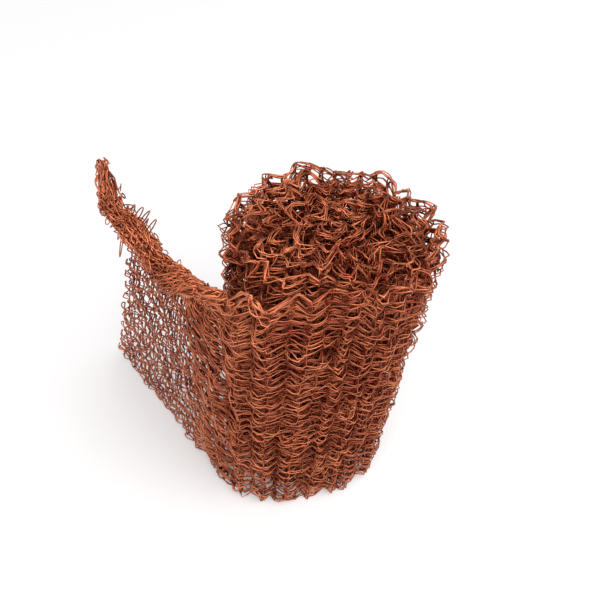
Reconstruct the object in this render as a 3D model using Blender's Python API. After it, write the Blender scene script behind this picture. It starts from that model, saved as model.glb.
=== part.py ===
"""Copper mesh roll: one crimped strip of knitted copper mesh, wound up and standing on its edge.

The strip is modelled as one closed sheet. Its path in plan is a flattened spiral, then a bend
where the last turn has sprung open, then a straight loose end. The wound turns are a crimped
wall. The loose end is an open net, and its upper edge is curled outwards into a lip that runs
on past the net to a narrow tip. Lengths are in metres and +Z is up.
"""
import math

import bpy
import numpy as np

MM = 0.001

# The strip
STRIP_HEIGHT = 127 * MM
STRIP_THICKNESS = 1.2 * MM
CRIMP_LENGTH = 9.3 * MM
CRIMP_HEIGHT = 1.4 * MM

# Slow bends in the crimp's spacing along the strip: how far in radians, over what length, and where they start
CRIMP_WANDERS = ((0.7, 58 * MM, 0.4), (0.5, 37 * MM, 2.1), (0.35, 26 * MM, 4.0))

# The wound roll
ROLL_CENTRE = (-6.3 * MM, 0 * MM)
ROLL_HALF_WIDTH = 35 * MM
ROLL_HALF_DEPTH = 29.5 * MM
CORE_RADIUS = 5 * MM
TURN_GAP = 0.5 * MM
LEAN_AT_TOP = (4.5 * MM, 4.5 * MM)
LEAN_FREE_SPAN = 20 * MM
LAST_TURN_END = math.radians(-80)

# The bend between the last turn and the loose end
BEND_LEAVE = 21 * MM
BEND_ARRIVE = 22 * MM

# The loose end
TAIL_START = (-42 * MM, -18.5 * MM)
TAIL_HEADING = math.radians(133.6)
TAIL_BOTTOM_LENGTH = 79 * MM
TAIL_NET_TOP_LENGTH = 36 * MM
TAIL_TIP_LENGTH = 53 * MM
TAIL_CRIMP_SHARE = 0.6
TIP_RISE = 5 * MM
TIP_BEND = 6 * MM
TIP_START = 0.67

# The net of the loose end
NET_COLUMNS = 10
NET_ROWS = 12
NET_BAR = 2.4 * MM
NET_EDGE = 3 * MM

# The curled lip
CURL_WIDTH = 20 * MM
CURL_TURN = math.radians(270)
CURL_LIFT = 9 * MM
CURL_ONSET = 0.3
CURL_TAPER = 0.45
CURL_STEPS = 8
LIP_REACHES_OUT = 0.33

# How finely the sheet is divided
STEPS_PER_CRIMP = 4
PATH_STEPS_PER_TURN = 240
BEND_STEPS = 60
SLOPE_REACH = 0.3 * MM

COPPER_COLOUR = (0.46, 0.165, 0.09, 1)
COPPER_ROUGHNESS = 0.36


def smooth(value):
    """Ease from 0 to 1 as value goes from 0 to 1."""
    value = np.clip(value, 0.0, 1.0)
    return value * value * (3 - 2 * value)


def heading(angle):
    """Unit direction in plan."""
    return np.array([math.cos(angle), math.sin(angle)])


def turn_pitch():
    """Distance between turns across the roll's narrow side."""
    steepest = 2 * math.pi * CRIMP_HEIGHT / CRIMP_LENGTH
    wall = STRIP_THICKNESS * math.hypot(1, steepest)
    return wall + 2 * CRIMP_HEIGHT + TURN_GAP


def spiral_path():
    """Plan points of the wound turns, from the core out, turning clockwise."""
    turns = (ROLL_HALF_DEPTH - CORE_RADIUS) / turn_pitch()
    count = int(turns * PATH_STEPS_PER_TURN)
    back = np.linspace(turns, 0, count)
    size = 1 - back * turn_pitch() / ROLL_HALF_DEPTH
    angle = LAST_TURN_END + 2 * math.pi * back
    across = ROLL_CENTRE[0] + ROLL_HALF_WIDTH * size * np.cos(angle)
    deep = ROLL_CENTRE[1] + ROLL_HALF_DEPTH * size * np.sin(angle)
    return np.stack([across, deep], 1)


def bend_path(start, start_direction):
    """Plan points of the Bezier bend from the last turn to the loose end."""
    end = np.array(TAIL_START)
    leave = start + BEND_LEAVE * start_direction
    arrive = end - BEND_ARRIVE * heading(TAIL_HEADING)
    t = np.linspace(0, 1, BEND_STEPS)[1:, None]
    return (1 - t) ** 3 * start + 3 * (1 - t) ** 2 * t * leave + 3 * (1 - t) * t ** 2 * arrive + t ** 3 * end


def whole_path():
    """Plan points of the wound part and the bend, with the length run at each."""
    spiral = spiral_path()
    direction = spiral[-1] - spiral[-2]
    bend = bend_path(spiral[-1], direction / np.linalg.norm(direction))
    points = np.concatenate([spiral, bend])
    steps = np.linalg.norm(np.diff(points, axis=0), axis=1)
    return points, np.concatenate([[0], np.cumsum(steps)])


PATH, PATH_LENGTHS = whole_path()
WOUND_LENGTH = PATH_LENGTHS[-1]


def on_path(length):
    """Plan point at a length along the strip. Past the bend it runs straight on."""
    if length > WOUND_LENGTH:
        return PATH[-1] + (length - WOUND_LENGTH) * heading(TAIL_HEADING)
    return np.array([np.interp(length, PATH_LENGTHS, PATH[:, axis]) for axis in (0, 1)])


def outwards(length):
    """Unit plan direction that points out of the roll at a length along the strip."""
    reach = CRIMP_LENGTH / 20
    length = max(length, reach)
    along = on_path(length + reach) - on_path(length - reach)
    along = along / np.linalg.norm(along)
    return np.array([-along[1], along[0]])


def crimp_phase(length):
    """Angle of the crimp's wave. Handling has bent the waves, so their spacing wanders."""
    phase = 2 * math.pi * length / CRIMP_LENGTH
    for size, span, start in CRIMP_WANDERS:
        phase = phase + size * np.sin(2 * math.pi * length / span + start)
    return phase


def crimp(length):
    """How far the crimp pushes the strip outwards. Its ridges stand upright."""
    started = smooth(length / (2 * CRIMP_LENGTH))
    in_tail = smooth((length - WOUND_LENGTH) / CRIMP_LENGTH)
    share = started * (1 - in_tail * (1 - TAIL_CRIMP_SHARE))
    return CRIMP_HEIGHT * share * math.sin(crimp_phase(length))


def leaned(point, height):
    """Place a plan point at a height. The roll leans away from its loose end, which stays upright."""
    inwards = np.array([math.sin(TAIL_HEADING), -math.cos(TAIL_HEADING)])
    from_tail = float((point - np.array(TAIL_START)) @ inwards)
    share = height / STRIP_HEIGHT * float(smooth(from_tail / LEAN_FREE_SPAN))
    return np.append(point + share * np.array(LEAN_AT_TOP), height)


def wall_point(length, width):
    """Middle of the strip in the wound part, at a length along it and a height up it."""
    return leaned(on_path(length) + crimp(length) * outwards(length), width)


def tail_point(share, width):
    """Middle of the strip in the loose end. share runs from 0 at the roll to 1 at the cut end."""
    flat_width = STRIP_HEIGHT - CURL_WIDTH
    net_length = TAIL_BOTTOM_LENGTH + (TAIL_NET_TOP_LENGTH - TAIL_BOTTOM_LENGTH) * min(width / flat_width, 1)
    in_curl = max(width - flat_width, 0) / CURL_WIDTH
    in_lip = float(smooth(in_curl / LIP_REACHES_OUT))
    length = WOUND_LENGTH + share * (net_length + (TAIL_TIP_LENGTH - TAIL_NET_TOP_LENGTH) * in_lip)
    curled = float(smooth(share / CURL_ONSET))
    tip = in_lip * float(smooth((share - TIP_START) / (1 - TIP_START)))
    height = min(width, flat_width) * (1 + curled ** 2 * CURL_LIFT / flat_width) + TIP_RISE * tip
    radius = CURL_WIDTH / CURL_TURN * (1 - CURL_TAPER * share ** 3)
    straight = min(in_curl, 1 - curled)
    angle = CURL_TURN * (in_curl - straight)
    height += CURL_WIDTH * straight + radius * math.sin(angle)
    away = radius * (1 - math.cos(angle)) + crimp(length) - TIP_BEND * tip
    return leaned(on_path(length) + away * outwards(length), height)


def faces_of(point, along, width, along_reach, upright):
    """Both faces of the strip at one point of its middle, half its thickness each way."""
    middle = point(along, width)
    up = point(along, width + SLOPE_REACH) - point(along, width - SLOPE_REACH)
    ahead = point(along + along_reach, width) - point(along - along_reach, width)
    normal = np.cross(up, ahead)
    if upright:
        normal[2] = 0
    normal = normal / np.linalg.norm(normal)
    return middle + normal * STRIP_THICKNESS / 2, middle - normal * STRIP_THICKNESS / 2


def striped(total, edge, bar, count):
    """Lines across a run of holes: an edge, then holes with bars between them, then an edge."""
    hole = (total - 2 * edge - (count - 1) * bar) / count
    lines = [0]
    for index in range(count):
        lines.append(edge + index * (hole + bar))
        lines.append(edge + index * (hole + bar) + hole)
    lines.append(total)
    return lines


class Sheet:
    """Vertices and faces of the strip, with an outer and an inner vertex at each grid point."""

    def __init__(self):
        self.vertices = []
        self.faces = []

    def column(self, pairs):
        """Add one column of grid points, each an outer and an inner place."""
        first = len(self.vertices)
        for outer, inner in pairs:
            self.vertices += [outer, inner]
        return [first + 2 * row for row in range(len(pairs))]

    def rim(self, start, end):
        """Close the sheet along an edge that its outer face runs from start to end."""
        self.faces.append((end, start, start + 1, end + 1))

    def patch(self, before, after, row):
        """Both faces of the sheet between two columns, over one row."""
        corners = [before[row], before[row + 1], after[row + 1], after[row]]
        self.faces.append(tuple(corners))
        self.faces.append(tuple(corner + 1 for corner in reversed(corners)))

    def hole(self, before, after, row):
        """The four walls of a hole between two columns, over one row."""
        corners = [before[row], before[row + 1], after[row + 1], after[row]]
        for start, end in zip(corners, corners[1:] + corners[:1]):
            self.rim(end, start)

    def zip_columns(self, before, after):
        """Join two columns that have different numbers of rows with triangles."""
        low, high = 0, 0
        while low < len(before) - 1 or high < len(after) - 1:
            left_next = (low + 1) / (len(before) - 1)
            right_next = (self.vertices[after[min(high + 1, len(after) - 1)]][2]) / STRIP_HEIGHT
            if high == len(after) - 1 or (low < len(before) - 1 and left_next <= right_next):
                corners = [before[low], before[low + 1], after[high]]
                low += 1
            else:
                corners = [before[low], after[high + 1], after[high]]
                high += 1
            self.faces.append(tuple(corners))
            self.faces.append(tuple(corner + 1 for corner in reversed(corners)))

    def close_edges(self, before, after):
        """Close the bottom and top edges between two columns."""
        self.rim(after[0], before[0])
        self.rim(before[-1], after[-1])

    def cap(self, column, at_start):
        """Close the sheet along the strip's first or last column."""
        for low, high in zip(column, column[1:]):
            if at_start:
                self.rim(low, high)
            else:
                self.rim(high, low)


def wall_lengths():
    """Lengths along the wound part at which the crimp's phase has gone on by one step."""
    lengths = np.linspace(0, WOUND_LENGTH, int(WOUND_LENGTH / SLOPE_REACH))
    phases = crimp_phase(lengths)
    step = 2 * math.pi / STEPS_PER_CRIMP
    return np.interp(np.arange(phases[0], phases[-1] - step / 2, step), phases, lengths)


def add_wall(sheet):
    """The wound turns: a crimped wall, divided so that each wave gets the same number of columns."""
    last = None
    for length in wall_lengths():
        column = sheet.column([faces_of(wall_point, length, width, SLOPE_REACH, True) for width in (0, STRIP_HEIGHT)])
        if last is None:
            sheet.cap(column, True)
        else:
            sheet.patch(last, column, 0)
            sheet.close_edges(last, column)
        last = column
    return last


def add_tail(sheet, last_of_wall):
    """The loose end: an open net with the curled lip above it."""
    flat_width = STRIP_HEIGHT - CURL_WIDTH
    share_reach = SLOPE_REACH / TAIL_BOTTOM_LENGTH
    shares = np.array(striped(TAIL_BOTTOM_LENGTH, NET_EDGE, NET_BAR, NET_COLUMNS)) / TAIL_BOTTOM_LENGTH
    widths = striped(flat_width, NET_EDGE, NET_BAR, NET_ROWS)
    widths += [flat_width + CURL_WIDTH * step / CURL_STEPS for step in range(1, CURL_STEPS + 1)]
    last = None
    for index, share in enumerate(shares):
        pairs = []
        for width in widths:
            upright = width <= flat_width or index == 0
            pairs.append(faces_of(tail_point, share, width, share_reach, upright))
        column = sheet.column(pairs)
        if last is None:
            sheet.zip_columns(last_of_wall, column)
            sheet.close_edges(last_of_wall, column)
        else:
            for row in range(len(widths) - 1):
                is_hole = index % 2 == 0 and row % 2 == 1 and row < 2 * NET_ROWS
                if is_hole:
                    sheet.hole(last, column, row)
                else:
                    sheet.patch(last, column, row)
            sheet.close_edges(last, column)
        last = column
    sheet.cap(last, False)


def copper():
    """Bright drawn copper wire, slightly dulled."""
    material = bpy.data.materials.new("copper_wire")
    material.use_nodes = True
    shader = material.node_tree.nodes["Principled BSDF"]
    shader.inputs["Base Color"].default_value = COPPER_COLOUR
    shader.inputs["Metallic"].default_value = 1.0
    shader.inputs["Roughness"].default_value = COPPER_ROUGHNESS
    return material


def make_strip():
    """Build the strip, with the middle of its footprint at the origin."""
    sheet = Sheet()
    add_tail(sheet, add_wall(sheet))
    points = np.array(sheet.vertices)
    middle = (points.min(0) + points.max(0)) / 2
    points = points - [middle[0], middle[1], 0]
    mesh = bpy.data.meshes.new("mesh_strip")
    mesh.from_pydata([tuple(point) for point in points], [], sheet.faces)
    mesh.materials.append(copper())
    mesh.shade_smooth()
    mesh.set_sharp_from_angle(angle=math.radians(40))
    strip = bpy.data.objects.new("mesh_strip", mesh)
    bpy.context.scene.collection.objects.link(strip)
    return strip


def main():
    for item in list(bpy.data.objects):
        bpy.data.objects.remove(item, do_unlink=True)
    make_strip()


main()
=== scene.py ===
# %% [markdown]
# # Copper mesh roll
# A tube of knitted copper wire is pressed flat, crimped, and wound into a roll that stands on its
# edge. This lesson knits the wire itself, loop by loop, and lays the knitting on the strip's
# surface. The imported CAD part gives the size and the place, so it is loaded first. Nothing here
# may change the roll's dimensions.

# %% Load the imported part
import math

import bpy
import numpy as np
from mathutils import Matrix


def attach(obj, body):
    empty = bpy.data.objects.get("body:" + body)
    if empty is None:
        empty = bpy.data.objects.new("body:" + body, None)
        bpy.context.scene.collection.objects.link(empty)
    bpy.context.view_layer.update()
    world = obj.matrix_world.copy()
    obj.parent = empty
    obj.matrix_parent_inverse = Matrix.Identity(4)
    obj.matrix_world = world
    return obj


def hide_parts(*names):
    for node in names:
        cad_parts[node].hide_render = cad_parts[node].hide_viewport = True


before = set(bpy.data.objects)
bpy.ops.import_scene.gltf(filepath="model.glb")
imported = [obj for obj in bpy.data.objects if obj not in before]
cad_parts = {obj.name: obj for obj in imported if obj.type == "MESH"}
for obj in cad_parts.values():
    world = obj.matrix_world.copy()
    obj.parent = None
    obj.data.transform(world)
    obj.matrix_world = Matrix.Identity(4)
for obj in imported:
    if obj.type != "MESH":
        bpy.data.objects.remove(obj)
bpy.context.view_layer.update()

# %% [markdown]
# ## Sizes of the strip
# The roll is an oval spiral, its last turn has sprung open, and the end stands off as a straight
# flap whose upper edge is curled into a lip. Its sizes are the CAD part's, but the lip's and the
# tip's were fitted to the photo again for loops. Lengths are in metres. The drawing is made round
# the roll's middle and moved at the end to the part's own origin, the middle of its footprint.

# %% Sizes
MM = 0.001
STRIP_HEIGHT = 127 * MM
ROLL_CENTRE = (-6.3 * MM, 0)
ROLL_HALF_WIDTH = 35 * MM
ROLL_HALF_DEPTH = 29.5 * MM
CORE_RADIUS = 5 * MM
INNER_RADIUS = 1.8 * MM
TURN_PITCH = 4.952 * MM
LEAN_AT_TOP = (4.5 * MM, 4.5 * MM)
LEAN_FREE_SPAN = 20 * MM
LAST_TURN_END = math.radians(-80)
BEND_LEAVE = 21 * MM
BEND_ARRIVE = 22 * MM
TAIL_START = (-42 * MM, -18.5 * MM)
TAIL_HEADING = math.radians(133.6)
TAIL_BOTTOM_LENGTH = 79 * MM
TAIL_NET_TOP_LENGTH = 36 * MM
TAIL_TIP_LENGTH = 61 * MM
PART_ORIGIN = (-31.4 * MM, 3.166 * MM)

# The curled lip. Shares are of the loose end's length, or of the curl's width.
TIP_RISE = 5 * MM
TIP_BEND = 4.5 * MM
TIP_START = 0.8
CURL_WIDTH = 20 * MM
CURL_TURN = math.radians(270)
CURL_LIFT = 9 * MM
CURL_ONSET = 0.3
CURL_TAPER = 0.7
LIP_REACHES_OUT = 0.33
LIP_LIFT = 3.5 * MM
LIP_LIFT_SHARES = (0.15, 0.45)
LIP_INWARDS = 1 * MM
LIP_TIGHTNESS = 0.62
LIP_FLATTENS_BY = 0.85
LIP_FLATTENS_FAST = 3
LIP_STARTS_BEFORE = 30 * MM
GATHER_FROM = 87 * MM
print(f"strip {STRIP_HEIGHT / MM:.0f} mm high, loose end {TAIL_BOTTOM_LENGTH / MM:.0f} mm long")


def smooth(value):
    """Ease from 0 to 1 as value goes from 0 to 1."""
    value = np.clip(value, 0, 1)
    return value * value * (3 - 2 * value)


def ease(value, span):
    """Ease from 0 to 1 over a span, given as the value where it begins and how far it goes on."""
    begins, goes_on = span
    return smooth((value - begins) / goes_on)


def heading(angle):
    """Unit direction in plan."""
    return np.array([math.cos(angle), math.sin(angle)])


# %% [markdown]
# ## The path that the strip follows
# Seen from above, the strip is one line: a spiral from the core outwards, a bend, and a straight
# end. A spiral could be a Blender curve, but the knitting needs to know how far along the strip
# each point is, so the line is worked out as numbers, with the length run at each point.

# %% Path in plan
STEPS_PER_TURN = 240
STEPS_IN_BEND = 60
SLOPE_REACH = 0.6 * MM


def plan_line():
    """Plan points of the spiral and the bend, with the length run and the turns outside each."""
    turns = (ROLL_HALF_DEPTH - INNER_RADIUS) / TURN_PITCH
    back = np.linspace(turns, 0, int(turns * STEPS_PER_TURN))
    size = 1 - back * TURN_PITCH / ROLL_HALF_DEPTH
    angle = LAST_TURN_END + 2 * math.pi * back
    spiral = np.stack([ROLL_CENTRE[0] + ROLL_HALF_WIDTH * size * np.cos(angle),
                       ROLL_CENTRE[1] + ROLL_HALF_DEPTH * size * np.sin(angle)], 1)
    leaving = spiral[-1] - spiral[-2]
    corners = [spiral[-1], spiral[-1] + BEND_LEAVE * leaving / np.linalg.norm(leaving),
               np.array(TAIL_START) - BEND_ARRIVE * heading(TAIL_HEADING), np.array(TAIL_START)]
    t = np.linspace(0, 1, STEPS_IN_BEND)[1:, None]
    shares = [(1 - t) ** 3, 3 * (1 - t) ** 2 * t, 3 * (1 - t) * t ** 2, t ** 3]
    bend = sum(share * corner for share, corner in zip(shares, corners))
    line = np.concatenate([spiral, bend])
    steps = np.linalg.norm(np.diff(line, axis=0), axis=1)
    return line, np.concatenate([[0], np.cumsum(steps)]), np.append(back, np.zeros(len(bend)))


LINE, LINE_LENGTHS, TURNS_OUTSIDE = plan_line()
WOUND_LENGTH = LINE_LENGTHS[-1]
SPIRAL = np.flatnonzero(TURNS_OUTSIDE > 0)
TURN_ORDER = SPIRAL[::-1]
LAST_TURN_LENGTHS = np.interp([-1, 0], -TURNS_OUTSIDE[SPIRAL], LINE_LENGTHS[SPIRAL])
INNER_END = LINE_LENGTHS[round((CORE_RADIUS - INNER_RADIUS) / TURN_PITCH * STEPS_PER_TURN)]
print(f"wound length {WOUND_LENGTH / MM:.1f} mm")


def on_line(along):
    """Plan points at lengths along the strip. Past the bend the line runs straight on."""
    past = np.maximum(along - WOUND_LENGTH, 0)[..., None] * heading(TAIL_HEADING)
    return np.stack([np.interp(along, LINE_LENGTHS, LINE[:, axis]) for axis in (0, 1)], -1) + past


def outwards(along):
    """Unit plan directions that point out of the roll."""
    along = np.maximum(along, SLOPE_REACH)
    run = on_line(along + SLOPE_REACH) - on_line(along - SLOPE_REACH)
    run = run / np.linalg.norm(run, axis=-1, keepdims=True)
    return np.stack([-run[..., 1], run[..., 0]], -1)


# %% [markdown]
# ## Crimp of the strip
# The flattened tube runs between two grooved rollers, which press upright waves into it. Wound up
# tightly, each turn settles into the waves of the turn outside it. Only the innermost turns, which
# have the most play, keep the waves that they were pressed with. Handling has bent the waves too,
# so their spacing and depth wander. The slow bends in the spacing are the same as the CAD part's,
# and the waves stand a little higher than its waves, because loose loops blur them. The rest is
# added up from sine waves with fixed seeds, so each run gives the same roll.

# %% Crimp
CRIMP_LENGTH = 9.3 * MM
CRIMP_HEIGHT = 1.65 * MM
CRIMP_WANDERS = ((0.7, 58 * MM, 0.4), (0.5, 37 * MM, 2.1), (0.35, 26 * MM, 4.0))
CRIMP_SHARPNESS = 0.96
TAIL_CRIMP_SHARE = 0.45
TAIL_CRIMP_FADE = (-22 * MM, 20 * MM)
UNSETTLED_TURNS = (3, 1.2)

# Sine waves in a ripple, their lengths as shares of its size, and what their sum is divided by
RIPPLE_WAVES = 7
RIPPLE_SIZES = (0.7, 1.35)
RIPPLE_LEVEL = 2.4

# How the waves are bent, and how much deeper they are at the bottom edge
BENT_BY = 1.2
BENT_STRETCH = (0.75, 1.2)
BENT_SIZE, BENT_SEED = 12 * MM, 7
DEPTH_WANDER, DEPTH_SIZE, DEPTH_SEED = 0.25, 35 * MM, 2
DEEPER_AT_BOTTOM, BOTTOM_SPAN = 0.35, 22 * MM


def ripple(along, up, size, seed):
    """Smooth random waves, about as long as size, mostly between -1 and 1."""
    random = np.random.default_rng(seed)
    total = 0
    for _ in range(RIPPLE_WAVES):
        turn, phase = random.uniform(0, 2 * math.pi, 2)
        pitch = 2 * math.pi / size * random.uniform(*RIPPLE_SIZES)
        total = total + np.sin(pitch * (along * math.cos(turn) + up * math.sin(turn)) + phase)
    return total / RIPPLE_LEVEL


def pressed_phase(along):
    """Angle of the crimp's wave as it was pressed, the same as in the CAD part."""
    phase = 2 * math.pi * (along - INNER_END) / CRIMP_LENGTH
    for size, span, start in CRIMP_WANDERS:
        phase = phase + size * np.sin(2 * math.pi * (along - INNER_END) / span + start)
    return phase


def nested_phase(along):
    """Angle of the wave where each turn has settled into the waves of the turn outside it."""
    outside = np.interp(along, LINE_LENGTHS, TURNS_OUTSIDE)
    whole = np.floor(outside)
    on_outermost = np.interp(outside - whole, TURNS_OUTSIDE[TURN_ORDER], LINE_LENGTHS[TURN_ORDER])
    first, last = pressed_phase(LAST_TURN_LENGTHS)
    waves = 2 * math.pi * np.round((last - first) / (2 * math.pi))
    drift = (last - first - waves) * (outside - whole) * (outside > 0)
    nested = pressed_phase(np.where(outside > 0, on_outermost, along)) - whole * waves + drift
    settled = 1 - ease(outside, UNSETTLED_TURNS)
    return nested * settled + pressed_phase(along) * (1 - settled)


def crimp(along, up):
    """How far the crimp pushes the strip outwards, as a share of its height."""
    bends = ripple(BENT_STRETCH[0] * along, BENT_STRETCH[1] * up, BENT_SIZE, BENT_SEED)
    phase = nested_phase(along) + BENT_BY * bends
    wave = np.arcsin(CRIMP_SHARPNESS * np.sin(phase)) / math.asin(CRIMP_SHARPNESS)
    started = smooth(along / (2 * CRIMP_LENGTH))
    in_tail = ease(along - WOUND_LENGTH, TAIL_CRIMP_FADE)
    near_bottom = 1 - smooth(up / BOTTOM_SPAN)
    depth = 1 + DEPTH_WANDER * ripple(along, up, DEPTH_SIZE, DEPTH_SEED) + DEEPER_AT_BOTTOM * near_bottom
    return wave * depth * started * (1 - in_tail * (1 - TAIL_CRIMP_SHARE))


print(f"crimp: {WOUND_LENGTH / CRIMP_LENGTH:.0f} waves of {CRIMP_LENGTH / MM:.1f} mm in the wound turns")

# %% [markdown]
# ## Wear of the strip
# The turns inside the roll have the most play, and their tops have worked loose. Where the mesh
# was cut and pulled about, its loops are bent out of shape, most of all in the curled lip. Both are
# kept as plain numbers between 0 and about 1 over the strip, so that the shape, the knitting and
# the copper's colour can all use them. A row of loops is called a course, and the rows are counted
# from the core, so the place where the outer turn starts falls between two of them.

# %% Wear
COURSE_SPACING = 4.6 * MM
OUTER_COURSE = 84
OUTER_TURN_START = OUTER_COURSE * COURSE_SPACING

# Where the strip has worked loose, and where its loops are bent out of shape. A pair of lengths
# or shares says where a change begins and how far it goes on.
LOOSE_TOP = (92 * MM, 35 * MM)
LOOSE_OUTSIDE_SHARE, LOOSE_OUTSIDE_SPAN = 0.6, 25 * MM
TANGLE_IN_ROLL, TANGLE_IN_LIP = 0.25, 0.72
TANGLE_LESS_AT_TOP, TANGLE_TOP = 0.1, (95 * MM, 30 * MM)
TANGLE_LESS_IN_TAIL, TANGLE_TAIL = 0.13, (-10 * MM, 20 * MM)
TANGLE_NEAR_TAIL = (-38 * MM, 28 * MM)
TANGLE_ABOVE, TANGLE_TAIL_DROP, TANGLE_SPAN = GATHER_FROM + 14 * MM, 22 * MM, 14 * MM
TANGLE_LESS_AT_TIP, TANGLE_TIP = 0.45, (0.7, 0.3)


def worked_loose(along, up):
    """1 at the top edge of the inner turns, less at the outer turn's, and 0 farther down."""
    inner = 1 - smooth((along - OUTER_TURN_START) / LOOSE_OUTSIDE_SPAN) * LOOSE_OUTSIDE_SHARE
    return ease(up, LOOSE_TOP) * inner


def tangled(along, up):
    """How far the loops are bent out of shape: most in the curled lip, least in the open net."""
    past = along - WOUND_LENGTH
    in_tail = ease(past, TANGLE_TAIL)
    above = TANGLE_ABOVE - TANGLE_TAIL_DROP * in_tail
    in_lip = ease(past, TANGLE_NEAR_TAIL) * ease(up, (above, TANGLE_SPAN))
    in_lip = in_lip * (1 - TANGLE_LESS_AT_TIP * ease(past / TAIL_BOTTOM_LENGTH, TANGLE_TIP))
    at_top = ease(up, TANGLE_TOP) * (1 - in_tail)
    in_roll = TANGLE_IN_ROLL - TANGLE_LESS_AT_TOP * at_top - TANGLE_LESS_IN_TAIL * in_tail
    return in_roll + TANGLE_IN_LIP * in_lip


print(f"outer turn from {OUTER_TURN_START / MM:.0f} mm along the strip")

# %% [markdown]
# ## The strip's middle
# The roll's shape is one formula, which takes a point of the unrolled strip and says where it is.
# The upper edge of the loose end is gathered and curled into a lip, the free edges are made ragged,
# and the crimp and the wear push the strip in and out. Then it is laid along the plan line, and the
# roll leans over. A sculpted mesh could look the same, but the wire has to be laid on it later, and
# for that each of its points has to know its place on the strip.

# %% The strip's middle
# The ragged edges, and how the whole surface has been pulled about
RAGGED_TOP = (90 * MM, 37 * MM)
RAGGED_TOP_RISE = 0.9 * MM
RAGGED_TOP_BY, RAGGED_TOP_SIZE, RAGGED_TOP_SEED = 1.3 * MM, 12 * MM, 5
RAGGED_BOTTOM_SPAN = 10 * MM
RAGGED_BOTTOM_BY, RAGGED_BOTTOM_SIZE, RAGGED_BOTTOM_SEED = 0.8 * MM, 13 * MM, 6
LOOSE_CRIMP_SHARE = 0.4
PULLED_BY, PULLED_SIZE, PULLED_SEED = 0.4 * MM, 24 * MM, 3
LOOSE_PULLED_BY, LOOSE_PULLED_SIZE, LOOSE_PULLED_SEED = 0.6 * MM, 17 * MM, 4


def strip_middle(along, up, crimped=1):
    """Middle of the flattened tube, at a length along the strip and a width up it.

    With crimped = 0 it is the strip before the crimp, which the layers are set off from.
    """
    flat = STRIP_HEIGHT - CURL_WIDTH
    inside = np.clip((along - WOUND_LENGTH) / TAIL_BOTTOM_LENGTH, 0, 1)
    gathered = np.where(up < GATHER_FROM, up * flat / GATHER_FROM,
                        flat + (up - GATHER_FROM) * CURL_WIDTH / (STRIP_HEIGHT - GATHER_FROM))
    curl_span = CURL_ONSET * TAIL_BOTTOM_LENGTH + LIP_STARTS_BEFORE
    curled = smooth((along - WOUND_LENGTH + LIP_STARTS_BEFORE) / curl_span)
    up = up + (gathered - up) * curled
    net = TAIL_BOTTOM_LENGTH + (TAIL_NET_TOP_LENGTH - TAIL_BOTTOM_LENGTH) * np.minimum(up / flat, 1)
    in_curl = np.maximum(up - flat, 0) / CURL_WIDTH
    in_lip = smooth(in_curl / LIP_REACHES_OUT)
    past = np.maximum(along - WOUND_LENGTH, 0) / TAIL_BOTTOM_LENGTH
    lip_past_net = (TAIL_TIP_LENGTH - TAIL_NET_TOP_LENGTH) * in_lip
    along = np.minimum(along, WOUND_LENGTH) + past * (net + lip_past_net)
    tip = in_lip * smooth((inside - TIP_START) / (1 - TIP_START))
    height = np.minimum(up, flat) * (1 + curled ** 2 * CURL_LIFT / flat) + TIP_RISE * tip
    height = height + LIP_LIFT * in_lip * ease(inside, LIP_LIFT_SHARES)
    radius = LIP_TIGHTNESS * CURL_WIDTH / CURL_TURN * (1 - CURL_TAPER * inside ** 3)
    straight = np.minimum(in_curl, 1 - curled)
    angle = CURL_TURN * (in_curl - straight)
    height = height + CURL_WIDTH * straight + radius * np.sin(angle)
    loose = worked_loose(along, up)
    near_top = ease(up, RAGGED_TOP) * (1 - curled)
    near_bottom = 1 - smooth(up / RAGGED_BOTTOM_SPAN)
    top_edge = RAGGED_TOP_BY * ripple(along, 0, RAGGED_TOP_SIZE, RAGGED_TOP_SEED) + RAGGED_TOP_RISE
    bottom_edge = np.maximum(1 + ripple(along, 0, RAGGED_BOTTOM_SIZE, RAGGED_BOTTOM_SEED), 0)
    height = height + near_top * top_edge + near_bottom * RAGGED_BOTTOM_BY * bottom_edge
    away = radius * (1 - np.cos(angle)) - TIP_BEND * tip - LIP_INWARDS * in_lip * curled
    flattened = 1 - LIP_FLATTENS_BY * curled * smooth(in_curl * LIP_FLATTENS_FAST)
    away = away + crimped * crimp(along, up) * CRIMP_HEIGHT * (1 + LOOSE_CRIMP_SHARE * loose) * flattened
    away = away + PULLED_BY * ripple(along, up, PULLED_SIZE, PULLED_SEED)
    away = away + LOOSE_PULLED_BY * loose * ripple(along, up, LOOSE_PULLED_SIZE, LOOSE_PULLED_SEED)
    plan = on_line(along) + away[..., None] * outwards(along)
    inwards = np.array([math.sin(TAIL_HEADING), -math.cos(TAIL_HEADING)])
    from_tail = (plan - np.array(TAIL_START)) @ inwards
    leaning = height / STRIP_HEIGHT * smooth(from_tail / LEAN_FREE_SPAN)
    plan = plan + leaning[..., None] * np.array(LEAN_AT_TOP) - np.array(PART_ORIGIN)
    return np.concatenate([plan, height[..., None]], -1)


TIP = strip_middle(np.array([WOUND_LENGTH + TAIL_BOTTOM_LENGTH]), np.array([STRIP_HEIGHT]))[0]
print("tip of the lip, mm:", [round(float(value), 1) for value in TIP / MM])

# %% [markdown]
# ## Objects and their data
# In Blender an object is a place in the scene, and the mesh, curve or lamp that it shows is data of
# its own. Data that the materials and the knitting look up is stored on the mesh: attributes at its
# points, and UV maps at the corners of its faces. These three helpers do that.

# %% Helpers for objects
def new_object(name, data):
    """An object with this data, put into the scene."""
    item = bpy.data.objects.new(name, data)
    bpy.context.scene.collection.objects.link(item)
    return item


def store_at_points(mesh, name, values):
    """Store a number or a vector at each point of a mesh."""
    kind, field = ("FLOAT", "value") if values.size == len(mesh.vertices) else ("FLOAT_VECTOR", "vector")
    layer = mesh.attributes.new(name, kind, "POINT")
    layer.data.foreach_set(field, values.astype(np.float32).ravel())


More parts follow.
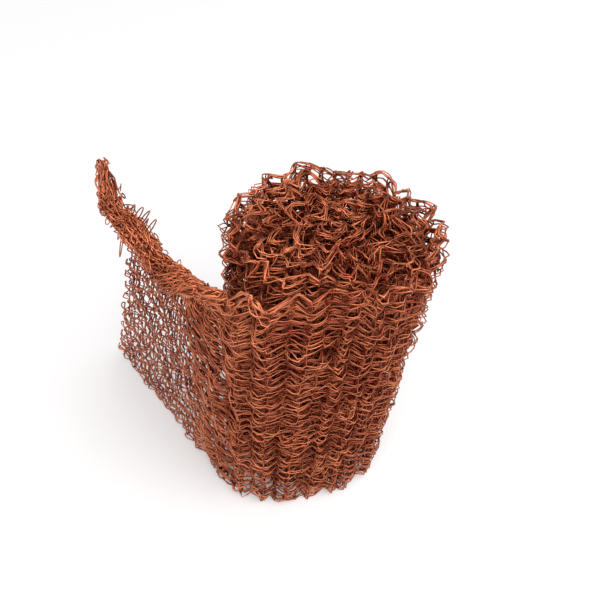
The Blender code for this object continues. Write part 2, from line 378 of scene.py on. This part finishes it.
def store_uv_map(mesh, name, places):
    """Add a UV map from the places of the mesh's face corners."""
    layer = mesh.uv_layers.new(name=name)
    layer.uv.foreach_set("vector", places.astype(np.float32).ravel())


# %% [markdown]
# ## The carrier
# The wire needs a surface to be laid on. The flattened tube has two layers, joined by a fold along
# the bottom edge and one along the top. A grid mesh stands for it: one way it runs along the
# strip, the other way it goes once round the tube, up the outer layer and down the inner one. The
# gap between the layers is measured square to the strip as it was before the crimp, so the two
# keep the same waves. The UV map holds the two lengths, so a point of the knitting can find its
# place by them. The carrier also stores which way is out, where the crimp stands proud, and how
# tangled the loops are. It is removed later.

# %% Build the carrier
LAYER_GAP = 1.9 * MM
TOP_LAYER_GAP = 3.2 * MM
FOLD_SPAN = 1.4 * MM
TUBE_LENGTH = 2 * STRIP_HEIGHT
MARGIN = 6 * MM
EDGE_CROWDING = 0.06
LINE_SPACING = 0.9 * MM
ROUND_SPACING = 1.7 * MM
LAST_LINE_SLACK = 0.5 * MM
FOLD_LINES = 9
UP_STEP = 0.2 * MM
ALONG_RANGE = (0, WOUND_LENGTH + TAIL_BOTTOM_LENGTH + MARGIN)
AROUND_RANGE = (-MARGIN, TUBE_LENGTH + MARGIN)

# Painted shade: the inner layer is kept dark save near its top, and tangled loops are kept bright wherever
# they are.
INNER_LAYER_LIT_SHARE = 0.1
INNER_LAYER_LIT_TOP = (85 * MM, 30 * MM)
TANGLED_LIT = 1.1
TANGLED_LIT_SPAN = (0.3, 0.4)


def unfolded_place(along, around):
    """Place on the unfolded tube, as shares of the carrier's two ranges. Takes arrays or sockets."""
    return ((along - ALONG_RANGE[0]) / (ALONG_RANGE[1] - ALONG_RANGE[0]),
            (around - AROUND_RANGE[0]) / (AROUND_RANGE[1] - AROUND_RANGE[0]))


def carrier_grid():
    """Points of the tube's surface over the grid's lengths, the way out, the crest mask of painted shade and
    the tangle.
    """
    along_lines = np.arange(ALONG_RANGE[0], ALONG_RANGE[1] + LAST_LINE_SLACK, LINE_SPACING)
    around_lines = np.arange(AROUND_RANGE[0], AROUND_RANGE[1] + LAST_LINE_SLACK, ROUND_SPACING)
    for fold in (0, STRIP_HEIGHT, TUBE_LENGTH):
        around_lines = np.union1d(around_lines, fold + np.linspace(-1, 1, FOLD_LINES) * FOLD_SPAN)
    along, around = np.meshgrid(along_lines, around_lines, indexing="ij")
    turned = np.mod(around, TUBE_LENGTH)
    flat_up = np.where(turned < STRIP_HEIGHT, turned, TUBE_LENGTH - turned)
    wave = 2 * math.pi * flat_up / STRIP_HEIGHT
    crowding = EDGE_CROWDING * STRIP_HEIGHT * (np.sin(wave) + 0.5 * np.sin(2 * wave)) / (2 * math.pi)
    up = flat_up - crowding
    middle = strip_middle(along, up)
    uncrimped = strip_middle(along, up, 0)
    ahead = np.gradient(uncrimped, along_lines, axis=0)
    out = np.cross(strip_middle(along, up + UP_STEP, 0) - uncrimped, ahead)
    out = out / np.maximum(np.linalg.norm(out, axis=-1, keepdims=True), 1e-12)
    from_fold = np.minimum(up, STRIP_HEIGHT - up)
    side = np.where(turned < STRIP_HEIGHT, 1, -1) * smooth(from_fold / FOLD_SPAN)
    gap = LAYER_GAP + (TOP_LAYER_GAP - LAYER_GAP) * worked_loose(along, up)
    surface = middle + (side * gap / 2)[..., None] * out
    # The crest mask is painted shade for the copper: light where the crimp pushes the layer out, dark in its
    # valleys and on the inner layer below its top, light again on tangled loops.
    crest = 0.5 + 0.5 * np.clip(crimp(along, up) * np.sign(side + 1e-9), -1, 1)
    inner_lit = INNER_LAYER_LIT_SHARE + (1 - INNER_LAYER_LIT_SHARE) * ease(up, INNER_LAYER_LIT_TOP)
    crest = crest * np.where(side < 0, inner_lit, 1)
    tangle = tangled(along, up)
    crest = np.maximum(crest, TANGLED_LIT * ease(tangle, TANGLED_LIT_SPAN))
    outer_way = out * np.where(turned < STRIP_HEIGHT, 1, -1)[..., None]
    return along, around, surface, outer_way, crest, tangle


def grid_faces(rows, columns):
    """Quads of a grid whose points are numbered row by row."""
    first = (np.arange(rows - 1)[:, None] * columns + np.arange(columns - 1)[None, :]).ravel()
    return np.stack([first, first + columns, first + columns + 1, first + 1], 1)


def build_carrier():
    """The carrier object, with its UV map and its attributes."""
    along, around, surface, out, crest, tangle = carrier_grid()
    faces = grid_faces(*along.shape)
    mesh = bpy.data.meshes.new("carrier")
    mesh.vertices.add(along.size)
    mesh.vertices.foreach_set("co", surface.astype(np.float32).ravel())
    mesh.loops.add(faces.size)
    mesh.loops.foreach_set("vertex_index", faces.astype(np.int32).ravel())
    mesh.polygons.add(len(faces))
    mesh.polygons.foreach_set("loop_start", np.arange(0, faces.size, 4, dtype=np.int32))
    mesh.update(calc_edges=True)
    unfolded = np.stack(unfolded_place(along, around), -1).reshape(-1, 2)
    store_uv_map(mesh, "unfolded", unfolded[faces.ravel()])
    for name, values in (("out", out), ("crest", crest), ("tangle", tangle)):
        store_at_points(mesh, name, values)
    print("carrier:", len(mesh.vertices), "points", len(mesh.polygons), "faces")
    return new_object("carrier", mesh)


carrier = build_carrier()

# %% [markdown]
# ## A helper for node trees
# Materials and Geometry Nodes are both built from nodes and links, and long lists of those are
# hard to read. Two small classes let a tree be written as plain lines: one adds a node and joins
# its sockets, the other wraps a socket so that sums of numbers can be written as sums.

# %% Node helper
class Number:
    """A socket. Sums written with it become Math nodes, where it carries a number."""

    def __init__(self, nodes, socket):
        self.nodes = nodes
        self.socket = socket

    def maths(self, operation, first, second=None):
        sockets = {0: first} if second is None else {0: first, 1: second}
        return self.nodes.add("ShaderNodeMath", {"operation": operation}, sockets)["Value"]

    def __add__(self, other):
        return self.maths("ADD", self, other)

    __radd__ = __add__

    def __sub__(self, other):
        return self.maths("SUBTRACT", self, other)

    def __rsub__(self, other):
        return self.maths("SUBTRACT", other, self)

    def __mul__(self, other):
        return self.maths("MULTIPLY", self, other)

    __rmul__ = __mul__

    def __truediv__(self, other):
        return self.maths("DIVIDE", self, other)

    def __rtruediv__(self, other):
        return self.maths("DIVIDE", other, self)

    def __gt__(self, other):
        return self.maths("GREATER_THAN", self, other)

    def apply(self, operation, other=None):
        return self.maths(operation, self, other)


class Nodes:
    """A node tree that is filled by plain lines of Python."""

    def __init__(self, tree):
        self.tree = tree

    @staticmethod
    def find(sockets, key):
        """The socket in use with this name, or at this place."""
        used = [socket for socket in sockets if socket.enabled]
        if isinstance(key, int):
            return used[key]
        return next(socket for socket in used if socket.name == key)

    def add(self, kind, settings=None, sockets=None):
        """Add a node, set it up, then fill its sockets with values or links. Gives its outputs by name."""
        node = self.tree.nodes.new(kind)
        for name, setting in (settings or {}).items():
            setattr(node, name, setting)
        for key, given in (sockets or {}).items():
            socket = self.find(node.inputs, key)
            if isinstance(given, Number):
                self.tree.links.new(given.socket, socket)
            else:
                socket.default_value = given
        return {socket.name: Number(self, socket) for socket in node.outputs if socket.enabled}

    def vector(self, x=0, y=0, z=0):
        return self.add("ShaderNodeCombineXYZ", {}, {"X": x, "Y": y, "Z": z})["Vector"]

    def vectors(self, operation, first, second):
        return self.add("ShaderNodeVectorMath", {"operation": operation}, {0: first, 1: second})["Vector"]

    def scaled(self, vector, factor):
        sockets = {0: vector, "Scale": factor}
        return self.add("ShaderNodeVectorMath", {"operation": "SCALE"}, sockets)["Vector"]

    def split(self, vector):
        return self.add("ShaderNodeSeparateXYZ", {}, {0: vector})

    def seen_directly(self):
        """1 for rays from the camera and for the metal's reflections, 0 for the rest."""
        ray = self.add("ShaderNodeLightPath")
        return ray["Is Camera Ray"].apply("MAXIMUM", ray["Is Glossy Ray"])


# %% [markdown]
# ## The knitting
# Plain knitting is one wire that runs across the strip in loops, row after row. A row is called a
# course. Each loop reaches through the one before, and its legs lie along the strip. A loop is a
# closed formula: the wire steps round the tube, swings along it, and dips behind at its two ends.
# One long chain of points holds all the loops of a piece. Geometry Nodes cut it into courses, put
# each point in its place on the unfolded tube, look that place up on the carrier, and sweep a
# round wire along it. A little noise makes every loop its own.

# %% Knitting tree
WALES = 52
WALE_WIDTH = TUBE_LENGTH / WALES
COURSE_MIDDLE = 0.85
LOOP_SQUARENESS = 0.12
DIP_JITTER_SHARE = 0.7
SEED_STEP = 7.3

# How far each noise moves on from course to course and from wale to wale, and where it begins
JITTER_NOISE = (5.7, 1.9, 0.0)
DRIFT_NOISE = (0.45, 0.37, 50.0)
KINK_NOISE = (7.7, 4.0, 90.0)
KNIT_INPUTS = (
    ("Carrier", "NodeSocketObject", None), ("Copper", "NodeSocketMaterial", None),
    ("First course", "NodeSocketInt", 0), ("Courses", "NodeSocketInt", 10),
    ("First wale", "NodeSocketInt", 0), ("Wales", "NodeSocketInt", 22),
    ("Points in a loop", "NodeSocketInt", 15), ("Wire sides", "NodeSocketInt", 4),
    ("Wire radius", "NodeSocketFloat", 0.25 * MM), ("Course spacing", "NodeSocketFloat", COURSE_SPACING),
    ("Wale width", "NodeSocketFloat", WALE_WIDTH), ("Loop reach", "NodeSocketFloat", 2.7 * MM),
    ("Loop narrowing", "NodeSocketFloat", 0.65 * MM), ("Loop waist", "NodeSocketFloat", 0.85 * MM),
    ("Loop dip", "NodeSocketFloat", 0.38 * MM), ("Loop jitter", "NodeSocketFloat", 1.9 * MM),
    ("Mesh drift", "NodeSocketFloat", 3.0 * MM), ("Tangle", "NodeSocketFloat", 5.5 * MM),
    ("Seed", "NodeSocketInt", 4),
)
KNIT_DEFAULTS = {name: value for name, kind, value in KNIT_INPUTS}


def knitting_tree():
    """Geometry Nodes that knit one piece of the tube on the carrier."""
    group = bpy.data.node_groups.new("knitting", "GeometryNodeTree")
    for name, kind, value in KNIT_INPUTS:
        socket = group.interface.new_socket(name, in_out="INPUT", socket_type=kind)
        if value is not None:
            socket.default_value = value
    group.interface.new_socket("Geometry", in_out="OUTPUT", socket_type="NodeSocketGeometry")
    nodes = Nodes(group)
    given = nodes.add("NodeGroupInput")
    per_course = given["Wales"] * given["Points in a loop"] + 1
    chain = nodes.add("GeometryNodeMeshLine", {"mode": "OFFSET"},
                      {"Count": given["Courses"] * per_course})["Mesh"]
    ends = nodes.add("GeometryNodeInputMeshEdgeVertices")
    starts_in = ((ends["Vertex Index 1"] + 0.5) / per_course).apply("FLOOR")
    stops_in = ((ends["Vertex Index 2"] + 0.5) / per_course).apply("FLOOR")
    between = (starts_in - stops_in).apply("ABSOLUTE") > 0.5
    chain = nodes.add("GeometryNodeDeleteGeometry", {"domain": "EDGE", "mode": "EDGE_FACE"},
                      {"Geometry": chain, "Selection": between})["Geometry"]

    index = nodes.add("GeometryNodeInputIndex")["Index"]
    row = ((index + 0.5) / per_course).apply("FLOOR")
    loops = (index - row * per_course) / given["Points in a loop"] + given["First wale"]
    course = row + given["First course"]
    swing = loops * (2 * math.pi)
    squared = (swing * 3).apply("COSINE") * LOOP_SQUARENESS
    reach = swing.apply("COSINE") * (1 + LOOP_SQUARENESS) - squared
    around = loops * given["Wale width"] - swing.apply("SINE") * given["Loop narrowing"]
    around = around + (swing * 2).apply("SINE") * given["Loop waist"]
    along = (course + COURSE_MIDDLE) * given["Course spacing"] + reach * given["Loop reach"]
    dip = (swing * 2).apply("COSINE") * given["Loop dip"] * -1

    half_way = STRIP_HEIGHT / given["Wale width"]
    from_edge = half_way - (loops - half_way).apply("ABSOLUTE")

    def noise(steps, across, size):
        """A random vector about as long as size, that changes with the course and across the strip."""
        by_course, by_wale, begins = steps
        place = nodes.vector(course * by_course, across * by_wale, given["Seed"] * SEED_STEP + begins)
        found = nodes.add("ShaderNodeTexNoise", {"noise_dimensions": "3D"},
                          {"Vector": place, "Scale": 1.0, "Detail": 1.0})["Color"]
        return nodes.scaled(nodes.vectors("SUBTRACT", found, (0.5, 0.5, 0.5)), size)

    shake = nodes.split(noise(JITTER_NOISE, loops, given["Loop jitter"]))
    drift = nodes.split(noise(DRIFT_NOISE, from_edge, given["Mesh drift"]))
    along = along + shake["X"] + drift["X"]
    around = around + shake["Y"] + drift["Y"]
    dip = dip + shake["Z"] * DIP_JITTER_SHARE
    unfolded = nodes.vector(*unfolded_place(along, around))

    def attribute(kind, name):
        """An attribute of the carrier, by its name."""
        return nodes.add("GeometryNodeInputNamedAttribute", {"data_type": kind}, {"Name": name})["Attribute"]

    surface = nodes.add("GeometryNodeObjectInfo", {"transform_space": "ORIGINAL"},
                        {"Object": given["Carrier"]})["Geometry"]
    uv_map = attribute("FLOAT_VECTOR", "unfolded")

    def looked_up(kind, value):
        """A value of the carrier at each point's place on the unfolded tube."""
        return nodes.add("GeometryNodeSampleUVSurface", {"data_type": kind},
                         {"Mesh": surface, "Value": value, "UV Map": uv_map, "Sample UV": unfolded})["Value"]

    out = looked_up("FLOAT_VECTOR", attribute("FLOAT_VECTOR", "out"))
    place = looked_up("FLOAT_VECTOR", nodes.add("GeometryNodeInputPosition")["Position"])
    place = nodes.vectors("ADD", place, nodes.scaled(out, dip))
    tangle = looked_up("FLOAT", attribute("FLOAT", "tangle"))
    place = nodes.vectors("ADD", place, noise(KINK_NOISE, loops, tangle * given["Tangle"]))
    # Painted shade for the copper: the crest mask from the carrier, and the leg mask, which leaves the loop
    # ends that dip behind darker.
    crest = looked_up("FLOAT", attribute("FLOAT", "crest"))
    legs = 0.5 - (swing * 2).apply("COSINE") * 0.5
    for name, field in (("crest", crest), ("leg", legs)):
        chain = nodes.add("GeometryNodeStoreNamedAttribute", {"data_type": "FLOAT", "domain": "POINT"},
                          {"Geometry": chain, "Name": name, "Value": field})["Geometry"]
    chain = nodes.add("GeometryNodeSetPosition", {}, {"Geometry": chain, "Position": place})["Geometry"]
    wire = nodes.add("GeometryNodeMeshToCurve", {}, {"Mesh": chain})["Curve"]
    ring = nodes.add("GeometryNodeCurvePrimitiveCircle", {"mode": "RADIUS"},
                     {"Resolution": given["Wire sides"], "Radius": given["Wire radius"]})["Curve"]
    knitted = nodes.add("GeometryNodeCurveToMesh", {},
                        {"Curve": wire, "Profile Curve": ring, "Fill Caps": True})["Mesh"]
    knitted = nodes.add("GeometryNodeSetShadeSmooth", {},
                        {"Geometry": knitted, "Shade Smooth": True})["Geometry"]
    knitted = nodes.add("GeometryNodeRealizeInstances", {}, {"Geometry": knitted})["Geometry"]
    knitted = nodes.add("GeometryNodeSetMaterial", {},
                        {"Geometry": knitted, "Material": given["Copper"]})["Geometry"]
    nodes.add("NodeGroupOutput", {}, {"Geometry": knitted})
    return group


KNITTING = knitting_tree()
print("knitting tree:", len(KNITTING.nodes), "nodes")

# %% [markdown]
# ## Copper wire
# Drawn copper is a bright, warm metal. Air dulls it unevenly, and light that bounces from wire to wire
# gets redder each time, which Blender's metal does by itself. So the colour goes from a dull red-brown
# to bright copper by noise, which is uneven tarnish, and by painted shade, which darkens the crimp's
# valleys, the loop ends that dip behind and the inner layer below its top. The roughness goes with it.

# %% Copper material
# Lit copper and shaded, dull copper: the mix between them is partly uneven tarnish and partly painted shade.
CLEAN_AND_LIT_COPPER = (0.58, 0.186, 0.089, 1)
DULL_AND_SHADED_COPPER = (0.13, 0.011, 0.0045, 1)
PATCH_SCALE, PATCH_DETAIL, PATCH_SHARE = 90.0, 3.0, 1.2
GRAIN_SCALE, GRAIN_DETAIL, GRAIN_SHARE = 1400.0, 2.0, 0.5
CREST_SHARE, LEG_SHARE, CLEAN_AND_LIT_ANYWAY = 0.4, 0.3, 0.1
DULL_ROUGHNESS, SMOOTHER_WHEN_LIT_AND_CLEAN, GRAIN_ROUGHNESS = 0.46, 0.12, 0.2
BUMP_STRENGTH, BUMP_HEIGHT = 0.25, 0.04 * MM


def copper_wire():
    """Bright drawn copper, dulled unevenly, with painted shade from the crest and leg masks."""
    material = bpy.data.materials.new("copper_wire")
    material.use_nodes = True
    tree = material.node_tree
    shader = tree.nodes["Principled BSDF"]
    nodes = Nodes(tree)
    place = nodes.add("ShaderNodeTexCoord")["Object"]
    patches = nodes.add("ShaderNodeTexNoise", {},
                        {"Vector": place, "Scale": PATCH_SCALE, "Detail": PATCH_DETAIL})["Fac"]
    grain = nodes.add("ShaderNodeTexNoise", {},
                      {"Vector": place, "Scale": GRAIN_SCALE, "Detail": GRAIN_DETAIL})["Fac"]
    crest = nodes.add("ShaderNodeAttribute", {"attribute_name": "crest"})["Fac"]
    leg = nodes.add("ShaderNodeAttribute", {"attribute_name": "leg"})["Fac"]
    # Crest and leg paint shade into the crimp's valleys, the loop ends and the inner layer; the noise is
    # uneven tarnish.
    lit_and_clean = crest * CREST_SHARE + leg * LEG_SHARE + (patches - 0.5) * PATCH_SHARE
    lit_and_clean = lit_and_clean + (grain - 0.5) * GRAIN_SHARE + CLEAN_AND_LIT_ANYWAY
    mixed = nodes.add("ShaderNodeMix", {"data_type": "RGBA", "clamp_factor": True},
                      {"Factor": lit_and_clean, "A": DULL_AND_SHADED_COPPER, "B": CLEAN_AND_LIT_COPPER})["Result"]
    tree.links.new(mixed.socket, shader.inputs["Base Color"])
    roughness = DULL_ROUGHNESS - lit_and_clean * SMOOTHER_WHEN_LIT_AND_CLEAN + (grain - 0.5) * GRAIN_ROUGHNESS
    tree.links.new(roughness.socket, shader.inputs["Roughness"])
    bump = nodes.add("ShaderNodeBump", {},
                     {"Strength": BUMP_STRENGTH, "Distance": BUMP_HEIGHT, "Height": grain})["Normal"]
    tree.links.new(bump.socket, shader.inputs["Normal"])
    shader.inputs["Metallic"].default_value = 1.0
    return material


COPPER = copper_wire()
print("material:", COPPER.name, len(COPPER.node_tree.nodes), "nodes")

# %% [markdown]
# ## Knitting the pieces
# The roll is knitted in pieces, because a piece stays under 200,000 triangles. They share one tree,
# and their courses are numbered from the core outwards. What is seen from outside or above has 14
# to 20 points in a loop, and the inner layer of the outer turn 9. The inner turns are hidden below
# their top edge, so 7 will do there. Hidden wire is thicker, which closes the view with fewer
# loops. The loose end has fewer and wider loops. A second knitting with another seed fills the
# places where the real loops lie over each other: the tops of the inner turns, the rim, the curled
# lip, and the stretch where the loose end leaves the roll.

# %% Knit the pieces
def strip_map(mesh, wires, points, sides):
    """A UV map for baking, named OFBake. Each wire lies flat in it, one above the other."""
    vertex = np.empty(len(mesh.loops), dtype=np.int32)
    mesh.loops.foreach_get("vertex_index", vertex)
    wire, rest = np.divmod(vertex, points * sides)
    place, side = np.divmod(rest, sides)
    first = np.empty(len(mesh.polygons), dtype=np.int32)
    count = np.empty(len(mesh.polygons), dtype=np.int32)
    mesh.polygons.foreach_get("loop_start", first)
    mesh.polygons.foreach_get("loop_total", count)
    closes_round = np.repeat(np.maximum.reduceat(side, first) == sides - 1, count)
    side = np.where(closes_round & (side == 0), sides, side)
    across = (wire + 0.1 + 0.8 * side / sides) / wires
    flat = np.stack([place / (points - 1), across], 1)
    store_uv_map(mesh, "OFBake", flat)


def plain_mesh(name, holder):
    """The finished mesh of an object that makes its shape itself. The object goes."""
    evaluated = holder.evaluated_get(bpy.context.evaluated_depsgraph_get())
    mesh = bpy.data.meshes.new_from_object(evaluated)
    bpy.data.objects.remove(holder)
    mesh.name = name
    return mesh


def knit(name, *changes):
    """One knitted piece: the tree runs with the changed inputs, and its result becomes a mesh."""
    values = {"Carrier": carrier, "Copper": COPPER}
    for change in changes:
        values.update(change)
    holder = new_object("holder", bpy.data.meshes.new("holder"))
    modifier = holder.modifiers.new("knitting", "NODES")
    modifier.node_group = KNITTING
    for item in KNITTING.interface.items_tree:
        if item.in_out == "INPUT" and item.name in values:
            modifier[item.identifier] = values[item.name]
    mesh = plain_mesh(name, holder)
    used = {**KNIT_DEFAULTS, **values}
    strip_map(mesh, used["Courses"], used["Wales"] * used["Points in a loop"] + 1, used["Wire sides"])
    print(name, sum(len(face.vertices) - 2 for face in mesh.polygons), "triangles")
    return new_object(name, mesh)


def wales(first, stop):
    """The inputs that knit a stretch of the tube's way round."""
    return {"First wale": first, "Wales": stop - first}


LAST_COURSE = int((WOUND_LENGTH + TAIL_BOTTOM_LENGTH) / COURSE_SPACING)
TAIL_COURSE = int(WOUND_LENGTH / COURSE_SPACING)
MEETING_COURSES = (TAIL_COURSE - 4, 6)
FOLD_WALE = WALES // 2
RIM_STOP = FOLD_WALE + 11
TOP_START, TOP_STOP = 20, 32
LIP_START, LIP_STOP = 19, 33
TAIL_WALES = 36

outer = {"First course": OUTER_COURSE, "Courses": TAIL_COURSE - OUTER_COURSE}
inner = {"First course": 0, "Courses": OUTER_COURSE}
tail = {"First course": TAIL_COURSE, "Courses": LAST_COURSE - TAIL_COURSE, "Loop jitter": 1.6 * MM}
net = {"Wale width": TUBE_LENGTH / TAIL_WALES, "Points in a loop": 20, "Loop narrowing": 1.0 * MM,
       "Wire radius": 0.28 * MM}
meeting = {"First course": MEETING_COURSES[0], "Courses": MEETING_COURSES[1], "Wire radius": 0.21 * MM,
           "Loop narrowing": 0.1 * MM, "Seed": 33}
lip = {"Loop narrowing": 0.2 * MM, "Tangle": 9 * MM, "Wire radius": 0.21 * MM, "Seed": 9}
inside = {"Points in a loop": 9, "Wire radius": 0.38 * MM}
hidden = {"Points in a loop": 7, "Wire sides": 3, "Wire radius": 0.52 * MM}
top = {"Points in a loop": 14, "Wire radius": 0.26 * MM}
pieces = [
    knit("knit_outer_turn_face", outer, wales(0, FOLD_WALE)),
    knit("knit_outer_turn_back", outer, inside, wales(FOLD_WALE, WALES)),
    knit("knit_outer_turn_rim", outer, inside, wales(FOLD_WALE, RIM_STOP), {"Seed": 21}),
    knit("knit_inner_turns_top", inner, top, wales(TOP_START, TOP_STOP)),
    knit("knit_inner_turns_crown", inner, top, wales(TOP_START, TOP_STOP), {"Seed": 15}),
    knit("knit_inner_turns_face", inner, hidden, wales(0, TOP_START)),
    knit("knit_inner_turns_back", inner, hidden, wales(TOP_STOP, WALES)),
    knit("knit_loose_end", tail, net, wales(0, TAIL_WALES)),
    knit("knit_meeting", meeting, wales(0, WALES)),
    knit("knit_lip_tangle", tail, lip, wales(LIP_START, LIP_STOP)),
]
bpy.data.objects.remove(carrier)

# %% [markdown]
# ## Loose loops
# Where the curled edge has been pulled about, single loops stand out of it like fingers. Each row
# of them is one wire that swings out and back from a line on the strip.

# %% Loose loops
FINGER_POINTS = 18
FINGER_LEAN = 0.3
FINGER_WAIST = 0.45
FINGER_UNEVEN, FINGER_UNEVEN_SIZE, FINGER_UNEVEN_SEED = 0.25, 6 * MM, 8
FINGER_WIRE = 0.21 * MM
FINGER_LIT_LEVEL = 0.8

# Name, two shares of the loose end, height, number of loops, the way they point, and how far
LOOSE_LOOPS = (
    ("loose_loops_fan", 0.52, 0.78, 94 * MM, 5, (0.5, 0.0, 0.86), 7 * MM),
    ("loose_loops_tip", 0.95, 1.02, 92 * MM, 1, (0.9, -0.2, 0.35), 5 * MM),
    ("loose_loops_low", 0.54, 0.61, 115 * MM, 2, (-0.2, -0.35, -0.9), 9.5 * MM),
)


def loose_loops(name, first, last, up, count, way, rise):
    """A wire that stands out of the loose end in a row of narrow loops."""
    swing = np.linspace(0, 2 * math.pi * count, FINGER_POINTS * count + 1)
    onward = swing - FINGER_LEAN * np.sin(swing) + FINGER_WAIST * np.sin(2 * swing)
    share = first + (last - first) * onward / swing[-1]
    past = TAIL_BOTTOM_LENGTH * share
    foot = strip_middle(WOUND_LENGTH + past, up + 0 * share)
    uneven = 1 + FINGER_UNEVEN * ripple(past, 0, FINGER_UNEVEN_SIZE, FINGER_UNEVEN_SEED)
    reach = (0.5 - 0.5 * np.cos(swing)) * rise * uneven
    points = foot + reach[:, None] * np.array(way)
    curve = bpy.data.curves.new(name, "CURVE")
    curve.dimensions = "3D"
    curve.bevel_depth = FINGER_WIRE
    curve.bevel_resolution = 1
    curve.use_fill_caps = True
    spline = curve.splines.new("POLY")
    spline.points.add(len(points) - 1)
    spline.points.foreach_set("co", np.append(points, np.ones((len(points), 1)), 1).ravel())
    mesh = plain_mesh(name, new_object("holder", curve))
    mesh.materials.clear()
    mesh.materials.append(COPPER)
    # The loose loops get one level of the painted-shade masks, mostly lit.
    for attribute in ("crest", "leg"):
        store_at_points(mesh, attribute, np.full(len(mesh.vertices), FINGER_LIT_LEVEL))
    return new_object(name, mesh)


pieces += [loose_loops(*row) for row in LOOSE_LOOPS]
print(len(pieces), "pieces of wire")

# %% [markdown]
# ## Joining the frame
# The roll has no joint, so every piece rides on the one body, and the CAD solid is hidden, as the
# pieces take its place.

# %% Ride, replace
for piece in pieces:
    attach(piece, "root")
    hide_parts("mesh_strip")
print("joined to the frame:", [piece.name for piece in pieces])

# %% [markdown]
# ## Floor
# The photograph has a white ground. The floor is plain and pale, and it keeps the roll's shadow.
# Part of its white is light of its own that only the camera and the metal's reflections see, so the
# lamps stay at a plain level. There is more of it farther out, where the lamps reach less, so the
# ground is white to the edge of the picture.

# %% Floor
FLOOR_REACH = 3.0
FLOOR_COLOUR = (0.82, 0.81, 0.81, 1)
FLOOR_ROUGHNESS = 0.9
WHITE = (1, 1, 1, 1)
OWN_LIGHT_AT_ROLL, OWN_LIGHT_PER_METRE, OWN_LIGHT_MOST = 0.12, 0.4, 0.8


def pale_floor():
    """A plain pale floor that keeps the shadow."""
    mesh = bpy.data.meshes.new("floor")
    corners = [(FLOOR_REACH * x, FLOOR_REACH * y, 0) for x, y in ((-1, -1), (1, -1), (1, 1), (-1, 1))]
    mesh.from_pydata(corners, [], [(0, 1, 2, 3)])
    floor = new_object("floor", mesh)
    material = bpy.data.materials.new("pale_floor")
    material.use_nodes = True
    tree = material.node_tree
    shader = tree.nodes["Principled BSDF"]
    shader.inputs["Base Color"].default_value = FLOOR_COLOUR
    shader.inputs["Roughness"].default_value = FLOOR_ROUGHNESS
    nodes = Nodes(tree)
    place = nodes.add("ShaderNodeTexCoord")["Object"]
    distance = nodes.add("ShaderNodeVectorMath", {"operation": "LENGTH"}, {0: place})["Value"]
    own_light = (distance * OWN_LIGHT_PER_METRE + OWN_LIGHT_AT_ROLL).apply("MINIMUM", OWN_LIGHT_MOST)
    own_colour = nodes.scaled(WHITE[:3], own_light)
    tree.links.new(own_colour.socket, shader.inputs["Emission Color"])
    tree.links.new(nodes.seen_directly().socket, shader.inputs["Emission Strength"])
    mesh.materials.append(material)
    print("floor:", 2 * FLOOR_REACH, "m across")


pale_floor()

# %% [markdown]
# ## Light
# The roll is lit softly from above, as in the photograph. One large lamp stands high and a little
# to the right, and a weaker one fills in the shadows from the front left. White light comes from
# all round as well, as in a studio with pale walls, because metal shows what it reflects.

# %% Light
LIT_HEIGHT = 0.06
LAMPS = (
    ("key", (0.25, -0.2, 0.78), 0.8, 6.8),
    ("fill", (-0.3, -0.6, 0.5), 0.6, 1.8),
)
WORLD_LIGHT, WORLD_LIGHT_SEEN = 0.4, 0.6


def soft_lamp(name, place, size, power):
    """A square soft box that faces the roll."""
    lamp = bpy.data.lights.new(name, "AREA")
    lamp.shape = "SQUARE"
    lamp.size = size
    lamp.energy = power
    holder = new_object(name, lamp)
    x, y, z = place
    holder.location = place
    away = math.atan2(math.hypot(x, y), z - LIT_HEIGHT)
    holder.rotation_euler = (away, 0, math.atan2(y, x) + math.pi / 2)


def white_world():
    """White light from all round, which looks brighter than it lights."""
    world = bpy.data.worlds.new("studio")
    bpy.context.scene.world = world
    world.use_nodes = True
    background = world.node_tree.nodes["Background"]
    background.inputs["Color"].default_value = WHITE
    strength = Nodes(world.node_tree).seen_directly() * WORLD_LIGHT_SEEN + WORLD_LIGHT
    world.node_tree.links.new(strength.socket, background.inputs["Strength"])


for row in LAMPS:
    soft_lamp(*row)
white_world()
print("lamps:", [row[0] for row in LAMPS])

# %% [markdown]
# ## Camera
# The camera stands where it has to stand for the roll's top and bottom edges to fall where they do
# in the photograph. It looks down steeply and is tilted a little to one side. Its picture keeps
# plain colours, with no film look.

# %% Camera
CAMERA_PLACE = (21.4 * MM, -148.17 * MM, 267 * MM)
CAMERA_PITCH = math.radians(49.9)
CAMERA_ROLL = math.radians(4.4)
CAMERA_LENS = 39
SENSOR_WIDTH = 36
NEAREST_SEEN = 0.01


def photo_camera():
    """The camera at the photograph's place, looking down at the roll from its front."""
    data = bpy.data.cameras.new("camera")
    data.lens = CAMERA_LENS
    data.sensor_width = SENSOR_WIDTH
    data.sensor_fit = "AUTO"
    data.clip_start = NEAREST_SEEN
    camera = new_object("camera", data)
    forward = np.array([0, math.cos(CAMERA_PITCH), -math.sin(CAMERA_PITCH)])
    level = np.array([1.0, 0.0, 0.0])
    upward = np.cross(level, forward)
    right = math.cos(CAMERA_ROLL) * level + math.sin(CAMERA_ROLL) * upward
    top = -math.sin(CAMERA_ROLL) * level + math.cos(CAMERA_ROLL) * upward
    matrix = np.eye(4)
    matrix[:3, 0], matrix[:3, 1], matrix[:3, 2], matrix[:3, 3] = right, top, -forward, CAMERA_PLACE
    camera.matrix_world = [list(row) for row in matrix.T]
    return camera


bpy.context.scene.camera = photo_camera()
bpy.context.scene.view_settings.view_transform = "Standard"
print("camera at, mm:", [round(value / MM, 1) for value in CAMERA_PLACE])
